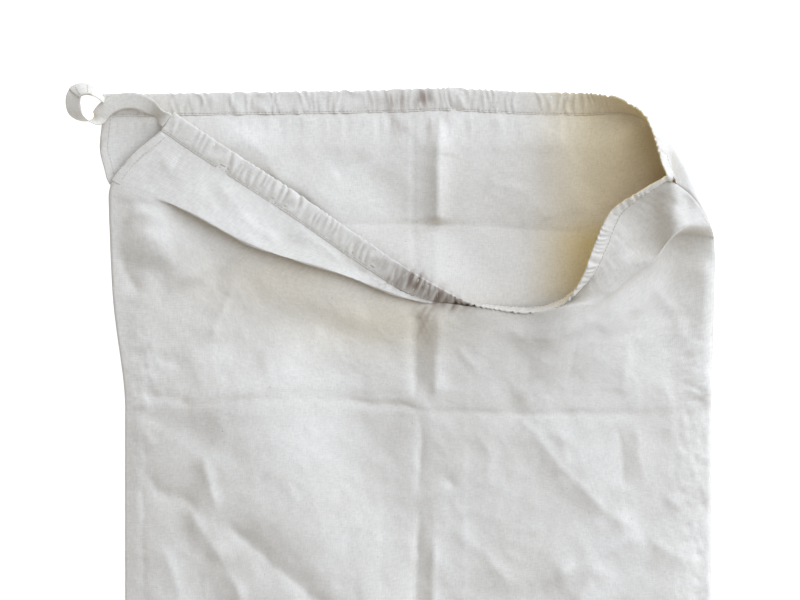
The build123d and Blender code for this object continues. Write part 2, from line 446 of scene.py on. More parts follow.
# ---- lines of the cloth
# Edge of the mouth from the slit along the front to the side seam, and the way the cloth leaves it.
FRONT_RIM = [
    ((-183, 353.5, 10), (-0.64, -0.77, 0.00)),
    ((-165, 341.0, 12), (-0.56, -0.83, 0.00)),
    ((-136, 322, 14.5), (-0.51, -0.86, 0.00)),
    ((-83, 287.5, 19), (-0.51, -0.85, 0.00)),
    ((-33, 252.8, 23), (-0.50, -0.84, -0.06)),
    ((19, 219.5, 28.5), (-0.43, -0.70, -0.55)),
    ((58, 201.8, 36), (-0.06, 0.14, -0.99)),
    ((95, 197.2, 41), (0.02, 0.22, -0.98)),
    ((118, 203.2, 50), (0.00, 0.20, -0.98)),
    ((134.5, 225, 62), (0.48, 0.00, -0.87)),
    ((144, 250.5, 70), (0.58, -0.10, -0.80)),
    ((156, 275, 75), (0.42, -0.18, -0.88)),
    ((179, 291, 78), (0.14, -0.20, -0.97)),
    ((200, 303, 78), (0.30, 0.02, -0.95)),
]
# The same along the back.
BACK_RIM = [
    ((-238.5, 368, 2.3), (0, -1, 0)),
    ((-222, 368, 2.3), (0, -1, 0)),
    ((-100, 369.5, 2.3), (0, -1, 0)),
    ((-10, 371, 2.3), (0, -1, 0)),
    ((28, 372.3, 2.3), (0, -1, 0)),
    ((60, 371, 2.3), (0, -1, 0)),
    ((98, 369, 2.8), (0, -1, 0)),
    ((126, 368.5, 7), (0, -1, -0.06)),
    ((148, 367, 18), (0.00, -0.80, -0.60)),
    ((167, 361.5, 32), (0.00, -0.35, -0.93)),
    ((183, 350, 51), (0.10, -0.10, -0.98)),
    ((189, 337, 61), (0.22, 0.00, -0.97)),
    ((193, 323, 69.5), (0.30, 0.06, -0.95)),
    ((196, 312, 74.5), (0.32, 0.05, -0.94)),
    ((200, 303, 78), (0.30, 0.02, -0.95)),
]
# Front panel below its casing, a row for each station of its rim: middle of the flap, its outer ridge,
# the tuck under it, the shoulder where the body comes out again, and the middle of the body.
FRONT_LINES = [
    [(-214, 321, 9), (-231, 300, 8), (-232.5, 296, 7.5), (-234, 286, 7.5), (-231, 215, 8)],
    [(-188, 306, 12.5), (-202, 289, 14), (-203, 285, 14.5), (-206, 276, 13.5), (-208, 215, 11)],
    [(-158, 294, 16.5), (-173, 276.5, 21), (-168, 279, 12), (-182, 264, 12), (-176, 215, 9)],
    [(-104, 261, 20), (-119.5, 248.5, 25), (-111.5, 253, 16), (-131, 233, 14.5), (-120, 190, 8.5)],
    [(-48, 233, 23), (-55, 228, 26), (-48.5, 233, 18.5), (-66, 210, 17), (-60, 180, 10.5)],
    [(11, 207.4, 19.4), (8.5, 206.2, 21.5), (9, 207, 18), (-1, 193, 18), (0, 165, 17.5)],
    [(57.3, 202.5, 18), (57.2, 201.6, 25), (56.8, 200.4, 34.2), (54, 187, 32.5), (53, 160, 29)],
    [(94.9, 199.6, 24), (94.7, 198.4, 31), (94.5, 196.2, 39.4), (91.5, 183, 36), (88, 160, 30)],
    [(118.3, 205, 34), (118.7, 203.6, 41), (118.8, 201.4, 48), (117, 186, 43), (106, 160, 33)],
    [(147, 220, 44), (152, 211, 43), (149.5, 206, 42), (142, 192, 39), (122, 165, 34)],
    [(166, 239, 48), (175.5, 228, 45), (170, 223, 39), (160, 199, 36), (138, 170, 33)],
    [(178, 259, 51), (193, 242, 50), (188, 235, 32), (182, 207, 30), (160, 172, 30)],
    [(196, 278, 58), (212, 264, 60), (208, 257, 26), (207, 230, 20), (194, 175, 23)],
    [(220, 287, 56), (234.5, 264, 46), (237.5, 255, 27), (238.6, 236, 24), (237.5, 185, 13)],
]
# Back panel, a row for each station of its rim, from the casing down to the body.
BACK_LINES = [
    [(-240.5, 327, 1.2), (-235, 300, 4), (-233.5, 263, 5.5), (-231, 215, 5)],
    [(-222, 327, 1.2), (-220, 300, 1.2), (-219, 263, 1.2), (-217, 215, 1.2)],
    [(-99, 325, 1.2), (-98, 299, 1.2), (-98, 263, 1.2), (-97, 215, 1.2)],
    [(-9, 325, 1.2), (-9, 299, 1.2), (-9, 263, 1.2), (-9, 215, 1.2)],
    [(28, 325, 1.2), (28, 299, 1.2), (28, 263, 1.2), (27, 215, 1.2)],
    [(60, 325, 1.2), (59, 299, 1.2), (59, 263, 1.2), (58, 215, 1.2)],
    [(98, 325, 2.4), (97, 299, 2.2), (96, 263, 2), (95, 215, 1.6)],
    [(124, 325, 7), (123, 299, 6.5), (121, 263, 5), (120, 215, 3)],
    [(145, 325, 13), (143, 299, 12), (141, 263, 9), (139, 215, 5)],
    [(166, 332, 21), (165, 299, 17), (163, 263, 12), (160, 215, 7)],
    [(199, 336.5, 27), (192, 305, 18), (187, 275, 12), (184, 215, 7)],
    [(205, 329, 37), (207, 304, 17), (200, 277, 9), (195, 212, 5)],
    [(208.5, 321.5, 48), (218, 302, 24), (212, 280, 9), (207, 208, 5)],
    [(212, 311, 57), (225.5, 287, 32), (225, 255, 10), (220, 205, 4)],
    [(220, 287, 56), (234.5, 264, 44), (238.6, 238, 14), (237.5, 185, 10)],
]


class Rim:
    """One half of the mouth's edge, as curves over the distance along it."""

    def __init__(self, stations):
        self.points = np.array([point for point, _ in stations], float)
        self.downs = unit([down for _, down in stations])
        self.knots = arc_lengths(self.points)
        self.length = self.knots[-1]

    def edge(self, places):
        return firm_curve(self.knots, self.points, places)

    def down(self, places):
        along = unit(np.gradient(self.edge(places), axis=0))
        return square_to(firm_curve(self.knots, self.downs, places), along)


front_rim = Rim(FRONT_RIM)
back_rim = Rim(BACK_RIM)


def gathers(places, depth, spacing, seed):
    """Uneven puckers across the drawn-up hem at one depth below its edge, from about -1 to 1."""
    wander = wavering(places / 24.0, seed, 0.3)
    lean = wavering(places / 11.0, seed + 1.9, depth / 14.0)
    size = wavering(places / 13.0, seed + 7.7, depth / 20.0)
    phase = np.cumsum(np.abs(np.gradient(places)) / spacing) + 1.8 * wander + 0.9 * lean
    fine = wavering(phase * 2.1, seed + 3.1, depth / 9.0)
    wave = 2 * np.abs(np.sin(np.pi * phase)) ** 0.7 - 1
    return (wave * np.clip(0.75 + 0.9 * size, 0.3, 1.4) + 0.8 * fine) * 0.8


def front_gathers(places, depth):
    """Height of the puckers along the front rim, which are coarse at its ends and dense at its middle."""
    share = places / front_rim.length
    spacing = np.interp(share, [0, 0.25, 0.45, 0.6, 0.8, 1], [8.0, 6.2, 5.2, 4.4, 5.0, 7.0])
    height = np.interp(share, [0, 0.06, 0.3, 0.5, 0.75, 0.85, 1], [0.8, 1.1, 1.35, 1.5, 1.2, 1.1, 0.9])
    return gathers(places, depth, spacing, 2.0) * height


def back_gathers(places, depth):
    share = places / back_rim.length
    spacing = np.interp(share, [0, 0.5, 0.75, 0.9, 1], [9.5, 8.5, 7, 5.5, 6.5])
    height = np.interp(share, [0, 0.12, 0.6, 1], [0.5, 1.9, 2.1, 1.3])
    return gathers(places, depth, spacing, 11.0) * height


def let_go(distance):
    """Share of the hem's puckers left in the cloth at each distance below the casing."""
    distance = np.clip(distance, 0, None)
    return 0.25 * np.exp(-distance / 3.0) + 0.6 * (distance / 5.0) * np.exp(1 - distance / 5.0)


# How far the panel reaches up inside the casing, and how far below it the panel's own lines begin.
PANEL_TUCK = 1.8
PANEL_CLEAR = 1.0


def panel_grid(rim, lines, counts, columns, crease_heights, low_heights, bottom_z, curve):
    """Panel below the casing: grid of points, shares across, line number and distance down of each row."""
    shares = np.linspace(0, 1, columns)
    rim_shares = rim.knots / rim.length
    lay = np.array(lines, float)
    across = LEFT_X + (RIGHT_X - LEFT_X) * rim_shares
    narrowed = np.where(across > 0, across * LOW_RIGHT_X / RIGHT_X, across)
    flat = np.ones(len(across))
    controls = [lay[:, k] for k in range(lay.shape[1])]
    controls.append(np.column_stack([across, flat * CREASE_Y, np.interp(rim_shares, *crease_heights)]))
    controls.append(np.column_stack([narrowed, flat * LOW_LINE_Y, np.interp(rim_shares, *low_heights)]))
    controls.append(np.column_stack([narrowed, flat * BOTTOM_Y, flat * bottom_z]))
    edge = rim.edge(shares * rim.length)
    down = rim.down(shares * rim.length)
    over_u = [edge + down * (CASING_DEPTH - PANEL_TUCK), edge + down * (CASING_DEPTH + PANEL_CLEAR)]
    over_u = np.array(over_u + [curve(rim_shares, control, shares) for control in controls])
    gaps = np.linalg.norm(np.diff(over_u, axis=0), axis=2).mean(axis=1)
    knots = np.concatenate([[0], np.cumsum(gaps)])
    rows = [np.linspace(step, step + 1, count, endpoint=False) for step, count in enumerate(counts)]
    rows = np.concatenate(rows + [[len(counts)]])
    places = np.interp(rows, range(len(knots)), knots)
    grid = np.array([firm_curve(knots, over_u[:, i], places) for i in range(len(shares))])
    return grid, shares, rows, places


def cloth_uvs(shares, places):
    return uv_pairs(shares[:, None] * PANEL_WIDTH, -places[None, :])


def wandering(grid):
    """Plan of a grid, bent a little so that folds along straight paths run unevenly."""
    east = fractal(grid, 34.0, 3, 51.0)
    north = fractal(grid, 34.0, 3, 52.0)
    return grid[..., :2] + 2.2 * np.stack([east, north], axis=-1)


# ---- front panel
# Folds on the body: path, height, reach on the left and on the right of the path, and its kind if soft.
BODY_FOLDS = [
    # left shoulder
    ([(-238, 292), (-235, 269), (-229, 244), (-221, 228), (-209, 208)], -4.5, 9, 6),
    ([(-219, 285), (-204, 268), (-184, 242), (-165, 215)], 5.0, 16, 12, "soft"),
    ([(-124, 246), (-141, 237), (-157, 219)], -3.0, 8, 9),
    ([(-132, 226), (-141, 208), (-150, 192), (-157, 173)], 3.4, 6, 7),
    ([(-170, 168), (-158, 144)], 3.0, 20, 16, "soft"),
    ([(-204, 166), (-182, 158), (-170, 150)], -2.0, 7, 7),
    # cross crease
    ([(-221, 130), (-160, 127), (-116, 129), (-53, 130), (-7, 125), (13, 121), (87, 119), (165, 118),
      (235, 117)], -1.3, 2.5, 4.5),
    ([(-218, 136), (-190, 132), (-163, 127)], -2.6, 10, 2.5),
    ([(-124, 134), (-61, 135), (9, 133)], -0.6, 2, 2),
    ([(-60, 128), (-7, 124), (13, 122)], -1.0, 5, 3, "soft"),
    # long middle crease
    ([(5, 205), (4, 176), (5, 141), (6, 127)], -4.2, 12, 4),
    ([(23, 205), (23, 176), (21.5, 141), (20, 127)], 4.2, 7, 8),
    ([(9, 121), (9, 98), (8, 74), (7, 51)], -2.4, 6, 2.5),
    ([(8, 60), (7, 20), (6, -4), (6, -27), (6, -200), (5, -366)], -5.0, 13, 3),
    ([(20, 56), (20, 20), (19, -40), (18, -366)], 4.2, 8, 9),
    ([(24, 72), (39, 61)], -1.6, 3, 4),
    ([(10, 51), (32, 62), (39, 61)], 1.6, 3, 4),
    # right half
    ([(82, 120), (112, 88), (126, 69), (153, 43), (184, 24)], 3.4, 14, 10),
    ([(184, 24), (163, 14), (139, 4), (100, -16)], 3.0, 10, 12),
    ([(184, 24), (205, 8), (226, -2)], 1.6, 6, 8),
    ([(80, 121), (99, 142), (125, 166), (150, 186), (176, 205)], 2.6, 16, 12),
    ([(131, 178), (126, 160), (122, 136)], -1.2, 14, 5),
    ([(170, 184), (169, 160), (166, 131)], 1.6, 6, 12),
    ([(119, 112), (122, 88), (127, 68)], 1.6, 6, 8),
    ([(163, 112), (166, 84), (170, 56)], -2.0, 9, 5),
    ([(176, 112), (180, 82), (186, 58)], 1.6, 7, 8),
    ([(196, 55), (217, 40)], 1.6, 5, 5),
    ([(153, 7), (142, -7), (132, -27), (118, -60)], 2.2, 10, 10),
    ([(120, -4), (96, -18), (60, -60)], -2.0, 12, 16),
    ([(200, 196), (186, 180), (168, 176)], 1.8, 6, 8),
    ([(186, 222), (206, 200), (214, 170)], 2.2, 8, 9),
    ([(196, 150), (204, 128), (206, 96)], 1.6, 6, 8),
    ([(60, 196), (75, 186), (92, 176), (120, 178)], 1.0, 8, 8),
    ([(34, 180), (46, 160), (60, 146)], 1.2, 9, 7),
    ([(30, 30), (60, 10), (84, -20)], 1.8, 9, 12),
    ([(50, 112), (64, 86), (60, 52)], 1.4, 12, 9),
    ([(-60, 184), (-90, 164), (-120, 150)], 1.4, 10, 12),
    ([(-30, 150), (-62, 150), (-100, 158)], -0.9, 8, 8),
    # lower left
    ([(-146, 172), (-30, -110)], 16.0, 46, 44, "soft"),
    ([(-210, 121), (-186, 113), (-163, 104), (-151, 88)], -2.6, 10, 9, "soft"),
    ([(-163, 92), (-159, 70), (-146, 40)], 3.0, 7, 9),
    ([(-206, 74), (-194, 57), (-175, 51), (-160, 40)], -2.6, 6, 7),
    ([(-177, 50), (-159, 26), (-147, 7), (-132, -21), (-118, -62)], 5.5, 15, 20),
    ([(-146, 40), (-124, 16), (-85, -16), (-53, -40), (-20, -90)], -5.0, 20, 12),
    ([(-196, 20), (-182, -10), (-176, -50)], 2.0, 10, 12),
    ([(-205, 268), (-206, 250), (-206, 230)], 4.0, 14, 13, "soft"),
    # seams
    ([(234, 199), (234.5, 129), (234.5, -27), (234.5, -366)], 3.0, 2.5, 14),
    ([(236, 246), (235, 205), (234.5, 165), (234, 118)], 6.0, 3, 16, "soft"),
    ([(-205, 105), (-206, 35), (-207, -27), (-207, -366)], -1.2, 3, 3),
    # lower half
    ([(-221, -122), (0, -120), (235, -123)], 1.6, 4, 8),
    ([(-190, -80), (-120, -150), (-60, -250)], 3.0, 10, 14),
    ([(60, -80), (120, -170), (205, -240)], 2.6, 12, 8),
    ([(190, -110), (120, -215), (70, -330)], -2.6, 10, 10),
    ([(-170, -200), (-110, -290), (-100, -350)], -2.4, 8, 12),
]
FLAP_FOLDS = [
    ([(-195, 322), (-188, 308), (-184, 298)], 1.6, 6, 6),
    ([(-150, 300), (-120, 262), (-100, 250)], 1.6, 12, 12),
    ([(-90, 268), (-70, 252), (-50, 232)], 1.4, 8, 8),
    ([(-60, 250), (-40, 236), (-28, 222)], -1.6, 6, 6),
    ([(184, 300), (186, 270), (188, 236)], -10.0, 11, 13, "soft"),
    ([(203, 300), (206, 284), (204, 262)], 3.0, 7, 7),
    ([(212, 296), (217, 284), (218, 272)], -2.0, 5, 5),
    ([(160, 268), (166, 258), (170, 240)], 1.4, 6, 6),
]


# Shares of the way across, and the heights of the cloth there: at the cross crease and near the bottom.
FRONT_CREASE = ([0, 0.04, 0.12, 0.3, 0.4, 0.5, 0.6, 0.78, 0.93, 1], [4.5, 10, 10, 10, 14, 25, 29, 30, 24, 8])
FRONT_LOW = ([0, 0.04, 0.12, 0.3, 0.5, 0.66, 0.9, 0.96, 1], [3, 8, 11, 14, 21, 19, 12, 9, 3])
FRONT_ROWS = [2, 12, 14, 9, 9, 22, 30, 140, 24]
FRONT_COLUMNS = 240


def beside(plan, x, reach):
    """Closeness to a line running down the cloth."""
    return np.exp(-((plan[..., 0] - x) / reach) ** 2)


def puckers(plan):
    """Strength of the small puckers beside the seams, which at the left gather round the cross crease."""
    y = plan[..., 1]
    left = beside(plan, -209, 15) * smoothstep(y, 205, 150) * smoothstep(y, 70, 110)
    right = beside(plan, 222, 13) * smoothstep(y, 205, 170)
    return np.clip(left + right + 0.35 * beside(plan, -212, 12), 0, 1)


def front_cloth():
    grid, shares, rows, places = panel_grid(
        front_rim, FRONT_LINES, FRONT_ROWS, FRONT_COLUMNS, FRONT_CREASE, FRONT_LOW, 2.2, loose_curve
    )
    normals = grid_normals(grid)
    plan = wandering(grid)
    body = smoothstep(rows, 4.3, 5.3)[None, :]
    below = smoothstep(rows, 1, 2)[None, :]
    flap = (1 - smoothstep(rows, 2.6, 3.4))[None, :] * smoothstep(rows, 0.8, 1.6)[None, :]
    seam = np.minimum(smoothstep(shares, 0, 0.03), smoothstep(1 - shares, 0, 0.01))[:, None]
    height = np.zeros(grid.shape[:2])
    uneven = 1 + 0.5 * fractal(grid, 22.0, 2, 53.0)
    for path, rise, left, right, *soft in BODY_FOLDS:
        one = fold(plan, path, rise * 1.1, left, right, soft=soft) * body
        height += one if soft else one * uneven
    for path, rise, left, right, *soft in FLAP_FOLDS:
        height += fold(plan, path, rise, left, right, soft=soft) * flap
    height += fractal(grid, 95.0, 2, 1.0) * 3.0 * body
    height += crumple(grid, 9.0, 15.0) * 0.16 * below
    height += fractal(grid, 34.0, 3, 2.0) * 1.0 * below
    height += crumple(grid, 30.0, 4.0) * 0.35 * below
    height += crumple(grid * (1.0, 1.4, 1.0), 11.0, 9.0) * 1.3 * puckers(plan) * body
    height *= seam * 0.85 + 0.15
    drawn = front_gathers(shares * front_rim.length, CASING_DEPTH)[:, None]
    height += drawn * let_go(places - places[np.searchsorted(rows, 1.0)])[None, :]
    return grid + normals * height[..., None], shares, rows, places


front_grid, front_shares, front_rows, front_places = front_cloth()

# ---- back panel
INSIDE_FOLDS = [
    ([(3.2, 356), (3.2, 262), (4, 200), (4, 120)], -0.9, 1.8, 1.4),
    ([(23.6, 356), (23.6, 310), (23.6, 264)], 9.5, 4.5, 13),
    ([(12, 356), (12, 264)], -1.2, 7, 6, "soft"),
    ([(22, 262), (20, 200), (18, 120)], 1.2, 7, 9),
    ([(6, 262), (6, 200)], -0.8, 4, 3),
    ([(-140, 345), (-110, 320), (-95, 285)], 1.8, 12, 9),
    ([(-20, 352), (-50, 318), (-80, 282)], 2.6, 12, 16),
    ([(-60, 352), (-82, 330), (-104, 300)], 1.6, 10, 12),
    ([(0, 340), (-25, 320), (-60, 305)], -1.4, 9, 9),
    ([(34, 350), (30, 335), (28, 320)], 1.4, 5, 4),
    ([(95, 350), (118, 335), (134, 305), (140, 275)], 2.2, 8, 16),
    ([(60, 300), (90, 290), (110, 270)], 0.9, 8, 8),
]
INSIDE_CREASE = [(-95, 265), (-50, 266), (30, 266), (75, 263.5), (110, 261), (172, 258)]
SIDE_FOLDS = [
    ([(201, 316), (206, 304), (212, 288)], -3.5, 5, 6),
    ([(207, 326), (214, 308), (220, 292)], 2.0, 6, 5),
]


BACK_CREASE = ([0, 0.03, 0.9, 0.97, 1], [4.5, 1.2, 1.2, 1.4, 8])
BACK_LOW = ([0, 0.03, 0.94, 1], [3, 1.2, 1.2, 3])
BACK_ROWS = [2, 12, 16, 30, 40, 36, 100, 20]
BACK_COLUMNS = 220
# Distance behind the front rim's long diagonal: its direction in the plan and its place.
DIAGONAL = (0.55, 0.835)
DIAGONAL_PLACE = 194
# The back panel is propped up along that diagonal, by this much and over this distance behind it.
PROP_HEIGHT = 5.5
PROP_REACH = 46
# The cloth inside the mouth lies this much higher than its control lines.
INSIDE_LIFT = 5.0


def inside_height(grid, plan):
    """Folds, crease and waves of the cloth that shows inside the mouth."""
    height = np.zeros(grid.shape[:2])
    for path, rise, left, right, *soft in INSIDE_FOLDS:
        height += fold(plan, path, rise, left, right, fade=(0.05, 0.08), soft=soft)
    south, along = along_path(grid[..., :2], INSIDE_CREASE)
    south = np.where((along > 0) & (along < 1), -south, 0)
    ends = smoothstep(along, 0, 0.08) * smoothstep(1 - along, 0, 0.05)
    height += (8.0 * smoothstep(south, 5, 75) + 3.4 * (1 - np.exp(-np.clip(south, 0, None) / 13))) * ends
    height += 1.2 * (1 - np.exp(-np.clip(-south, 0, None) / 9)) * ends
    return height + (fractal(grid, 70.0, 2, 5.0) * 1.6 + fractal(grid, 26.0, 3, 6.0) * 0.7)


def back_cloth():
    grid, shares, rows, places = panel_grid(
        back_rim, BACK_LINES, BACK_ROWS, BACK_COLUMNS, BACK_CREASE, BACK_LOW, 1.4, firm_curve
    )
    x, y, z = np.moveaxis(grid, -1, 0)
    plan = wandering(grid)
    below = smoothstep(rows, 0.8, 2.0)[None, :]
    level = 1 - smoothstep(z, 3, 12)
    seam = np.minimum(smoothstep(shares, 0, 0.04), smoothstep(1 - shares, 0, 0.06))[:, None]
    up = np.clip(inside_height(grid, plan) + INSIDE_LIFT, 0, None) * seam * below * level
    # only the cloth that shows behind the front rim rises from the floor
    behind = x * DIAGONAL[0] + y * DIAGONAL[1] - DIAGONAL_PLACE
    propped = smoothstep(x, -190, -110) * smoothstep(70 - x, 0, 60) * seam * below
    up = up + PROP_HEIGHT * (1 - smoothstep(behind, 0, PROP_REACH)) * propped
    up = up * smoothstep(behind, -16, -2) * smoothstep(y, 150, 205)
    drawn = back_gathers(shares * back_rim.length, CASING_DEPTH)[:, None]
    fallen = places - places[np.searchsorted(rows, 1.0)]
    wave = drawn * (let_go(fallen) * smoothstep(fallen, 0, 4))[None, :]
    side = fractal(grid, 40.0, 3, 8.0) * 1.6 + wave
    for path, rise, left, right in SIDE_FOLDS:
        side += fold(plan, path, rise, left, right)
    grid = grid + (side * (1 - level) * seam)[..., None] * grid_normals(grid)
    grid[..., 2] += up + np.abs(wave) * level
    grid[..., 2] = np.maximum(grid[..., 2], CLOTH / 2 + 0.05)
    return grid, shares, rows, places


back_grid, back_shares, back_rows, back_places = back_cloth()
ZIP_COLUMNS = 7.0


def zip_edge(grid, column, line, rows_apply):
    """Moves one edge of a panel on to the other panel's edge, easing off over the cloth beside it."""
    edge = grid[column]
    moves = np.zeros_like(edge)
    best = np.full(len(edge), np.inf)
    for start, end in zip(line, line[1:]):
        run = end - start
        t = np.clip((edge - start) @ run / max(run @ run, 1e-9), 0, 1)
        gap = start + t[:, None] * run - edge
        distance = np.linalg.norm(gap, axis=1)
        moves = np.where((distance < best)[:, None], gap, moves)
        best = np.minimum(best, distance)
    moves = moves * rows_apply[:, None]
    count = grid.shape[0]
    steps = np.arange(count) if column == 0 else np.arange(count)[::-1]
    return grid + moves[None] * np.exp(-((steps / ZIP_COLUMNS) ** 2))[:, None, None]


back_grid = zip_edge(back_grid, -1, front_grid[-1], smoothstep(back_rows, 0.9, 1.2))
back_grid = zip_edge(back_grid, 0, front_grid[0, front_rows >= 3], smoothstep(back_rows, 2.9, 3.1))


# ---- stains
# Spots of dirt: strength, centre and reach.
DIRT = [
    # back casing and the cloth below it
    (0.8, (-12, 363), (11, 8)),
    (1.0, (12, 363), (7, 9)),
    (0.35, (-9, 343), (9, 11)),
    (0.3, (17, 345), (6, 9)),
    (0.25, (26, 350), (8, 6)),
    # front casing and the cloth below it
    (1.5, (22, 210), (11, 7)),
    (1.1, (4, 222), (10, 7)),
    (0.9, (40, 203), (12, 5)),
    # these two spots also darken the end of the flap, where they are partly stain and partly painted shade
    (0.55, (-14, 220), (14, 7)),
    (0.4, (-14, 236), (12, 9)),
    (0.35, (12, 192), (6, 20)),
    (0.35, (13, 199), (8, 8)),
]
# Painted warm shade under the flap: strength, centre and reach of each spot.
FLAP_SHADE_SPOTS = [(0.2, (-100, 222), (60, 24)), (0.26, (-20, 190), (60, 22))]


def spots(plan, table):
    """Sum of round spots over a plan."""
    total = np.zeros(plan.shape[:-1])
    for strength, centre, reach in table:
        total += strength * np.exp(-np.sum(((plan - np.array(centre)) / np.array(reach)) ** 2, axis=-1))
    return total


def painted_corner_shade(points):
    """Painted warm shade on the cloth inside the mouth's corner, standing in for its shade and the warm
    light bounced between its layers.
    """
    near = smoothstep(points[..., 0], 82, 150) * smoothstep(points[..., 1], 190, 215)
    deep = 1 - 0.45 * smoothstep(points[..., 1], 250, 275) * (1 - smoothstep(points[..., 2], 10, 50))
    return np.clip(near * deep, 0, 1)


def stains(points):
    """Old rust-brown dirt where the hem has been handled, in streaks across the hem."""
    x, y, _ = np.moveaxis(points, -1, 0)
    along = x * 0.92 - np.where(y < 300, 0.45, 0.0) * y
    places = np.stack([along / 3.2, y / 15.0, x * 0 + 4.0], axis=-1)
    streaks = 0.55 + 1.1 * fractal(places, 1.0, 3, 21.0)
    return np.clip(spots(points[..., :2], DIRT) * np.clip(streaks, 0.12, 1.3), 0, 0.9)


front_panel = cloth_object("front_panel_cloth", front_grid, cloth_uvs(front_shares, front_places))
back_panel = cloth_object("back_panel_cloth", back_grid, cloth_uvs(back_shares, back_places))
set_values(front_panel, "stain", np.concatenate([stains(front_grid).ravel()] * 2))
set_values(back_panel, "stain", np.concatenate([stains(back_grid).ravel()] * 2))
# painted warm shade: inside the mouth's corner on both panels, and under the flap on the front panel's outer
# face
inner_front = painted_corner_shade(front_grid) * smoothstep(front_rows, 3.2, 2.6)
inner_front = inner_front * smoothstep(1 - front_shares, 0, 0.03)[:, None]
inner_back = painted_corner_shade(back_grid) * smoothstep(1 - back_shares, 0, 0.03)[:, None]
under_flap = spots(front_grid[..., :2], FLAP_SHADE_SPOTS) * smoothstep(front_rows, 3.6, 4.2)
set_values(front_panel, "painted_warm_shade", np.concatenate([under_flap.ravel(), inner_front.ravel()]))
set_values(back_panel, "painted_warm_shade", np.concatenate([inner_back.ravel(), inner_back.ravel() * 0]))

# ---- casing round the mouth
SECTION_DEPTHS = [0.0, 0.5, 1.6, 3.4, 6.0, 9.0, 12.0, 14.2, 15.4, 16.0, 16.6, 17.5]
OUTER_HALVES = [0.35, 0.65, 0.85, 0.95, 0.97, 0.95, 0.9, 0.8, 0.65, 0.5, 0.6, 0.55]
INNER_HALVES = [0.35, 0.7, 0.95, 1.15, 1.2, 1.15, 1.05, 0.9, 0.75, 0.6, 0.8, 0.75]
# Cloth measure at which the inner face's depths count back from.
INNER_FACE = 40
RIM_POINTS = 420
# Points of the rim where one run of the tape ends and the other begins.
FRONT_TAPE_END = 520
BACK_TAPE_START = 524


def whole_rim():
    """Front rim from the slit to the corner, then the back rim on to the slit again."""
    front = np.linspace(0, front_rim.length, RIM_POINTS)
    back = np.linspace(back_rim.length, 0, RIM_POINTS)[1:]
    edge = np.vstack([front_rim.edge(front), back_rim.edge(back)])
    down = np.vstack([front_rim.down(front), back_rim.down(back)])
    for _ in range(6):
        down[1:-1] = unit(down[:-2] + 2 * down[1:-1] + down[2:])
    along = unit(np.gradient(edge, axis=0))
    down = square_to(down, along)
    return edge, down, along, unit(np.cross(down, along)), front, back


rim_edge, rim_down, rim_along, rim_out, front_steps, back_steps = whole_rim()


def rim_gathers(depth):
    """Puckers round the whole rim at one depth, fading towards the stitches."""
    back = back_gathers(back_steps[::-1], depth)[::-1]
    tight = np.interp(depth, [0, 5, 11, STITCH_DEPTH, CASING_DEPTH], [0.75, 1.0, 0.9, 0.25, 0.25])
    return np.concatenate([front_gathers(front_steps, depth), back]) * tight


def on_casing(depth, side):
    """Points on the casing's outer (side 1) or inner (side -1) face at one depth below the rim."""
    half = np.interp(depth, SECTION_DEPTHS, OUTER_HALVES if side > 0 else INNER_HALVES)
    gather = rim_gathers(depth)
    shift = gather * (1.0 if side > 0 else 0.9)
    lift = half + 0.3 * np.clip(gather, -1, 1) * (depth < STITCH_DEPTH - 1)
    edge_wave = 0.7 * gather * math.exp(-depth / 3.0)
    points = rim_edge + rim_down * (depth - edge_wave)[:, None]
    return points + rim_out * (shift + side * lift)[:, None]


def casing_rings():
    layers = [on_casing(depth, 1) for depth in SECTION_DEPTHS]
    layers += [on_casing(depth, -1) for depth in SECTION_DEPTHS[::-1]]
    return np.stack(layers, axis=1)


def rim_lift(rings):
    """How far each ring of the casing has to rise to clear the floor."""
    return np.clip(0.15 - rings[..., 2].min(axis=1), 0, None)


def casing():
    rings = casing_rings()
    rings[..., 2] += rim_lift(rings)[:, None]
    lengths = arc_lengths(rim_edge)
    depths = np.array(SECTION_DEPTHS + [INNER_FACE - depth for depth in SECTION_DEPTHS[::-1]])
    made = ring_tube("mouth_casing_cloth", rings, uv_pairs(lengths[:, None], depths[None, :]))
    set_values(made, "stain", stains(rings))
    inside = np.arange(rings.shape[1]) >= len(SECTION_DEPTHS)
    # painted warm shade on the casing's inner face inside the mouth's corner
    set_values(made, "painted_warm_shade", painted_corner_shade(rings) * inside[None, :])
    return made


mouth_casing = casing()


def casing_stitches():
    lift = rim_lift(casing_rings())
    rows = []
    for side in (1, -1):
        line = on_casing(STITCH_DEPTH, side) + rim_out * side * 0.08
        line[:, 2] = np.maximum(line[:, 2] + lift, 0.35)
        rows.append(stitch_row("row", line, rim_along, rim_out * side, 2.9, 2.6, 0.36))
    return merge("mouth_casing_stitches", rows)


casing_thread = casing_stitches()


def casing_tape(name, part):
    """Drawstring inside the casing."""
    gather = 0.6 * rim_gathers(CASING_DEPTH / 2)[part]
    middle = rim_edge[part] + rim_down[part] * (CASING_DEPTH / 2 - 0.6) + rim_out[part] * gather[:, None]
    middle[:, 2] = np.maximum(middle[:, 2], 1.6)
    return tape(name, middle, rim_out[part], 0.88 * TAPE_WIDTH)


front_tape = casing_tape("drawstring_tape_front", np.arange(FRONT_TAPE_END))
back_tape = casing_tape("drawstring_tape_back", np.arange(BACK_TAPE_START, len(rim_edge)))


# ---- hems of the slit
SLIT_HEM_WIDTH = 7.0
SLIT_START_ROW = 0.6
SLIT_END_ROW = 3.0
# Section of the hem: share of its width, and height over the cloth.
HEM_SECTION = [(-0.1, 0.0), (0.02, 0.5), (0.3, 0.62), (0.7, 0.55), (0.88, 0.4), (1.0, 0.5), (1.04, 0.1)]
HEM_SECTION += [(1.0, -0.4), (0.7, -0.5), (0.3, -0.5), (0.02, -0.5)]


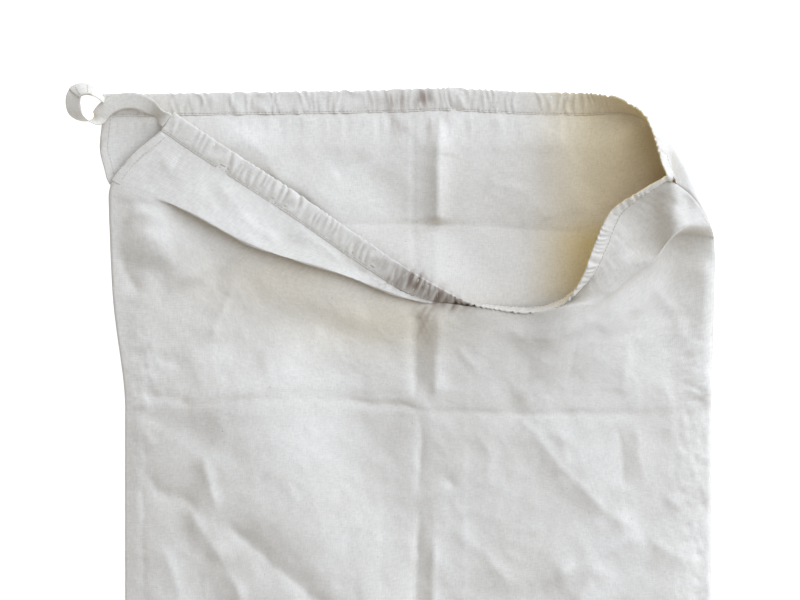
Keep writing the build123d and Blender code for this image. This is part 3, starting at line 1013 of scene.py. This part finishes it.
def slit_hem(name, grid, rows):
    """Narrow folded hem and its stitches on a panel's left edge, from its casing to the end of the slit."""
    part = (rows >= SLIT_START_ROW) & (rows <= SLIT_END_ROW)
    edge = grid[0, part]
    down = unit(np.gradient(edge, axis=0))
    inward = square_to(unit(grid[6, part] - edge), down)
    normals = unit(np.cross(inward, down))
    normals = normals * np.sign(normals[:, 2:3])
    wave = fractal(edge, 9.0, 2, 31.0) * 0.35
    layers = []
    for across, through in HEM_SECTION:
        layers.append(edge + inward * across * SLIT_HEM_WIDTH + normals * (through + wave[:, None]))
    rings = np.stack(layers, axis=1)
    rings[..., 2] = np.maximum(rings[..., 2], 0.1)
    depths = np.array([across * SLIT_HEM_WIDTH for across, _ in HEM_SECTION])
    hem = ring_tube(name + "_cloth", rings, uv_pairs(arc_lengths(edge)[:, None], depths[None, :]))
    line = edge + inward * SLIT_HEM_WIDTH * 0.82 + normals * 0.55
    return hem, stitch_row(name + "_thread", line, down, normals, 3.0, 2.4, 0.26)


front_hem, front_hem_thread = slit_hem("front_slit_hem", front_grid, front_rows)
back_hem, back_hem_thread = slit_hem("back_slit_hem", back_grid, back_rows)


def bar_tack():
    """Short dense row of stitches across the end of the slit."""
    centre = back_grid[0, np.searchsorted(back_rows, SLIT_END_ROW)]
    line = centre + np.linspace(-1.5, 6.5, 9)[:, None] * np.array([1, 0, 0]) + np.array([0, 0, 1.6])
    runs = np.repeat([[1.0, 0.0, 0.0]], len(line), 0)
    ups = np.repeat([[0.0, 0.0, 1.0]], len(line), 0)
    rows = []
    for offset in (-1.2, -0.6, 0.0):
        rows.append(stitch_row("tack", line + np.array([0, offset, 0]), runs, ups, 1.4, 1.3, 0.5))
    return merge("slit_bar_tack_thread", rows)


tack = bar_tack()


# ---- seams inside the sack
SEAM_Z = 2.4
SEAM_POINTS = 120
ALLOWANCE_WIDTH = 10.0
ALLOWANCE_THICK = 1.3


def allowance(name, start, end, side):
    """Raw edge of a seam inside the sack, and its row of stitches."""
    run = np.array([*end, SEAM_Z]) - np.array([*start, SEAM_Z])
    middle = np.array([*start, SEAM_Z]) + np.linspace(0, 1, SEAM_POINTS)[:, None] * run
    middle[:, 2] += 0.5 + 0.35 * fractal(middle, 14.0, 2, 41.0)
    inward = np.array(side, float)
    up = np.repeat([[0.0, 0.0, 1.0]], SEAM_POINTS, 0)
    frayed = middle + inward * 0.4 * fractal(middle, 4.0, 2, 42.0)[:, None]
    strip = tape(name + "_cloth", frayed, up, ALLOWANCE_WIDTH, ALLOWANCE_THICK)
    line = middle - inward * 3 + up * 0.95
    return strip, stitch_row(name + "_thread", line, np.repeat([unit(run)], SEAM_POINTS, 0), up)


left_allowance, left_thread = allowance("left_seam", (-202.5, -352), (-202.5, 278), (1, 0, 0))
right_allowance, right_thread = allowance("right_seam", (201.5, -352), (201.5, 150), (-1, 0, 0))
bottom_allowance, bottom_thread = allowance("bottom_seam", (-205, -359.5), (204, -359.5), (0, 1, 0))


# ---- materials
class Shading:
    """Node tree of one material."""

    def __init__(self, name):
        self.material = bpy.data.materials.new(name)
        self.material.use_nodes = True
        self.nodes = self.material.node_tree.nodes
        self.shader = self.nodes["Principled BSDF"]

    def give(self, socket, value):
        """Links a socket to another one, or sets it to a value."""
        if isinstance(value, bpy.types.NodeSocket):
            self.material.node_tree.links.new(value, socket)
        else:
            socket.default_value = value

    def fill(self, node, values):
        for name, value in values.items():
            self.give(node.inputs[name], value)
        return node

    def math(self, operation, first, second):
        node = self.nodes.new("ShaderNodeMath")
        node.operation = operation
        return self.fill(node, {0: first, 1: second}).outputs[0]

    def noise(self, vector, scale, detail, roughness=0.5):
        values = {"Vector": vector, "Scale": scale, "Detail": detail, "Roughness": roughness}
        return self.fill(self.nodes.new("ShaderNodeTexNoise"), values).outputs["Fac"]

    def stretched(self, vector, scale):
        values = {"Vector": vector, "Scale": scale}
        return self.fill(self.nodes.new("ShaderNodeMapping"), values).outputs["Vector"]

    def ramp(self, value, *stops):
        """Colour for a value, between two stops."""
        node = self.nodes.new("ShaderNodeValToRGB")
        for element, (place, colour) in zip(node.color_ramp.elements, stops):
            element.position = place
            element.color = colour
        return self.fill(node, {"Fac": value}).outputs["Color"]

    def mix(self, factor, first, second, mode="MIX"):
        node = self.nodes.new("ShaderNodeMix")
        node.data_type = "RGBA"
        node.blend_type = mode
        shown = [socket for socket in node.inputs if socket.enabled]
        for socket, value in zip(shown, (factor, first, second)):
            self.give(socket, value)
        return [socket for socket in node.outputs if socket.enabled][0]

    def attribute(self, name):
        node = self.nodes.new("ShaderNodeAttribute")
        node.attribute_name = name
        return node.outputs["Fac"]


def grey(value):
    return (value, value, value, 1)


CREAM = (0.700, 0.640, 0.515, 1)
PALE_CREAM = (0.760, 0.700, 0.576, 1)
TAPE_CREAM = (0.70, 0.64, 0.51, 1)
PALE_TAPE = (0.745, 0.685, 0.55, 1)
# Thread tones, darkened partly as painted shade for the shadowed groove along each stitch line.
THREAD_WITH_GROOVE_SHADE = (0.42, 0.37, 0.29, 1)
PALE_THREAD = (0.48, 0.43, 0.34, 1)
SEED_COLOUR = (0.16, 0.10, 0.05, 1)
DIRT_COLOUR = (0.27, 0.20, 0.145, 1)
# Warm tint multiplied in as painted shade, inside the mouth's corner and under the flap.
PAINTED_SHADE_TINT = (1.0, 0.82, 0.42, 1)
# The wave texture's scale times the distance from one of its bands to the next.
WAVE_PITCH = 0.314


def cotton(name, base, pale, weave_pitch, weave_depth, stains_and_shade):
    """Unbleached plain-weave cotton: uneven threads, seed specks, faint blotches and, if asked, stains and a
    painted warm shade.
    """
    made = Shading(name)
    cloth = made.nodes.new("ShaderNodeUVMap")
    cloth.uv_map = "cloth"
    uv = cloth.outputs["UV"]
    # uneven threads, running both ways
    warp = made.noise(made.stretched(uv, (1300, 170, 1)), 1.0, 2.0)
    weft = made.noise(made.stretched(uv, (150, 1300, 1)), 1.0, 2.0)
    threads = made.math("ADD", warp, weft)
    colour = made.ramp(made.noise(uv, 14.0, 4.0, 0.6), (0.3, base), (0.7, pale))
    thread_tone = made.ramp(made.math("MULTIPLY", threads, 0.5), (0.36, grey(0.90)), (0.60, grey(1.0)))
    grain_tone = made.ramp(made.noise(uv, 420.0, 3.0, 0.7), (0.32, grey(0.91)), (0.62, grey(1.0)))
    for tone in (thread_tone, grain_tone):
        colour = made.mix(1.0, colour, tone, "MULTIPLY")
    # dark bits of cotton seed
    cells = made.fill(made.nodes.new("ShaderNodeTexVoronoi"), {"Scale": 95.0, "Vector": uv})
    near = made.math("LESS_THAN", cells.outputs["Distance"], 0.035)
    chance = made.fill(made.nodes.new("ShaderNodeSeparateColor"), {"Color": cells.outputs["Color"]})
    picked = made.math("GREATER_THAN", chance.outputs["Red"], 0.5)
    speck = made.math("MULTIPLY", made.math("MULTIPLY", near, picked), 0.55)
    colour = made.mix(speck, colour, SEED_COLOUR)
    if stains_and_shade:
        colour = made.mix(made.attribute("stain"), colour, DIRT_COLOUR)
        # painted warm shade, inside the mouth's corner and under the flap
        colour = made.mix(made.attribute("painted_warm_shade"), colour, PAINTED_SHADE_TINT, "MULTIPLY")
    # weave and threads in relief
    waves = []
    for direction in ("X", "Y"):
        wave = made.nodes.new("ShaderNodeTexWave")
        wave.bands_direction = direction
        values = {"Vector": uv, "Scale": WAVE_PITCH / weave_pitch, "Distortion": 0.6, "Detail": 1.0}
        waves.append(made.fill(wave, values).outputs["Fac"])
    weave = made.math("MULTIPLY", made.math("MULTIPLY", *waves), 0.5)
    relief = made.math("ADD", made.math("MULTIPLY", threads, 0.6), weave)
    bump = made.nodes.new("ShaderNodeBump")
    made.fill(bump, {"Strength": 0.6, "Distance": weave_depth, "Height": relief})
    made.fill(made.shader, {
        "Base Color": colour, "Normal": bump.outputs["Normal"], "Roughness": 0.92,
        "Specular IOR Level": 0.25, "Sheen Weight": 0.12, "Sheen Roughness": 0.5,
    })
    return made.material


canvas = cotton("unbleached_canvas", CREAM, PALE_CREAM, 0.0008, 0.00018, True)
tape_cotton = cotton("cotton_tape_weave", TAPE_CREAM, PALE_TAPE, 0.0012, 0.00025, False)
thread_cotton = cotton("cotton_thread_twist", THREAD_WITH_GROOVE_SHADE, PALE_THREAD, 0.0004, 0.0001, False)


def dress(material, slot, *made):
    for piece in made:
        piece.data.materials.clear()
        piece.data.materials.append(material)


dress(canvas, "canvas", front_panel, back_panel, mouth_casing, front_hem, back_hem)
dress(canvas, "canvas", left_allowance, right_allowance, bottom_allowance)
dress(tape_cotton, "cotton_tape", loop_tape, join_tape, front_tape, back_tape)
dress(thread_cotton, "thread", casing_thread, front_hem_thread, back_hem_thread, tack)
dress(thread_cotton, "thread", left_thread, right_thread, bottom_thread, join_stitches)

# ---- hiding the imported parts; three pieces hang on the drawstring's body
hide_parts("front_panel")
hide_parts("back_panel")
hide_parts("back_casing", "front_casing", "mouth_turn_casing")
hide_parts("back_casing_stitches", "front_casing_stitches", "mouth_turn_stitches")
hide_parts("front_slit_hem")
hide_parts("back_slit_hem")
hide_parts("front_slit_stitches")
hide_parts("back_slit_stitches")
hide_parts("slit_bar_tack")
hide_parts("left_seam_allowance")
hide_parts("right_seam_allowance")
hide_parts("bottom_seam_allowance")
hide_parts("left_seam_stitches")
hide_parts("right_seam_stitches")
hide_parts("bottom_seam_stitches")
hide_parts("drawstring_front_run", "drawstring_turn_run")
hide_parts("drawstring_back_run")
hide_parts("drawstring_loop")
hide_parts("drawstring_join")
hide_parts("drawstring_join_stitches")

giving = [front_panel, back_panel, mouth_casing, casing_thread, front_tape]
giving += [front_hem, back_hem, front_hem_thread, back_hem_thread, tack]
giving += [left_allowance, right_allowance, bottom_allowance, left_thread, right_thread, bottom_thread]
for piece in giving:
    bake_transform(piece)
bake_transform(loop_tape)
for piece in (back_tape, join_tape, join_stitches):
    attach(piece, "drawstring")

# ---- floor and light
FLOOR = 6000
FLOOR_GLOW = 0.6
KEY_SHARE = 0.60
SKY = 0.46
KEY_COLOUR = (0.86, 1.0, 1.31)
SKY_COLOUR = (0.99, 1.0, 1.10, 1)
KEY_DIRECTION = Vector((-0.68, -0.58, -0.66))
KEY_SPREAD = 85


def floor():
    corners = [(-FLOOR, -FLOOR, 0), (FLOOR, -FLOOR, 0), (FLOOR, FLOOR, 0), (-FLOOR, FLOOR, 0)]
    made = mesh_object("floor", corners, [(0, 1, 2, 3)])
    pale = Shading("pale_floor")
    pale.fill(pale.shader, {
        "Base Color": (0.93, 0.93, 0.93, 1), "Emission Color": (1, 1, 1, 1),
        "Emission Strength": FLOOR_GLOW, "Roughness": 1.0, "Specular IOR Level": 0.0,
    })
    made.data.materials.append(pale.material)


floor()

world = bpy.data.worlds.new("studio")
world.use_nodes = True
sky = world.node_tree.nodes["Background"]
sky.inputs["Color"].default_value = SKY_COLOUR
sky.inputs["Strength"].default_value = SKY
bpy.context.scene.world = world
key_data = bpy.data.lights.new("key", "SUN")
key_data.energy = KEY_SHARE * math.pi / KEY_DIRECTION.normalized().dot(Vector((0, 0, -1)))
key_data.angle = math.radians(KEY_SPREAD)
key_data.color = KEY_COLOUR
key = add_object("key", key_data)
key.rotation_euler = KEY_DIRECTION.to_track_quat("-Z", "Y").to_euler()
bpy.context.scene.view_settings.view_transform = "Standard"
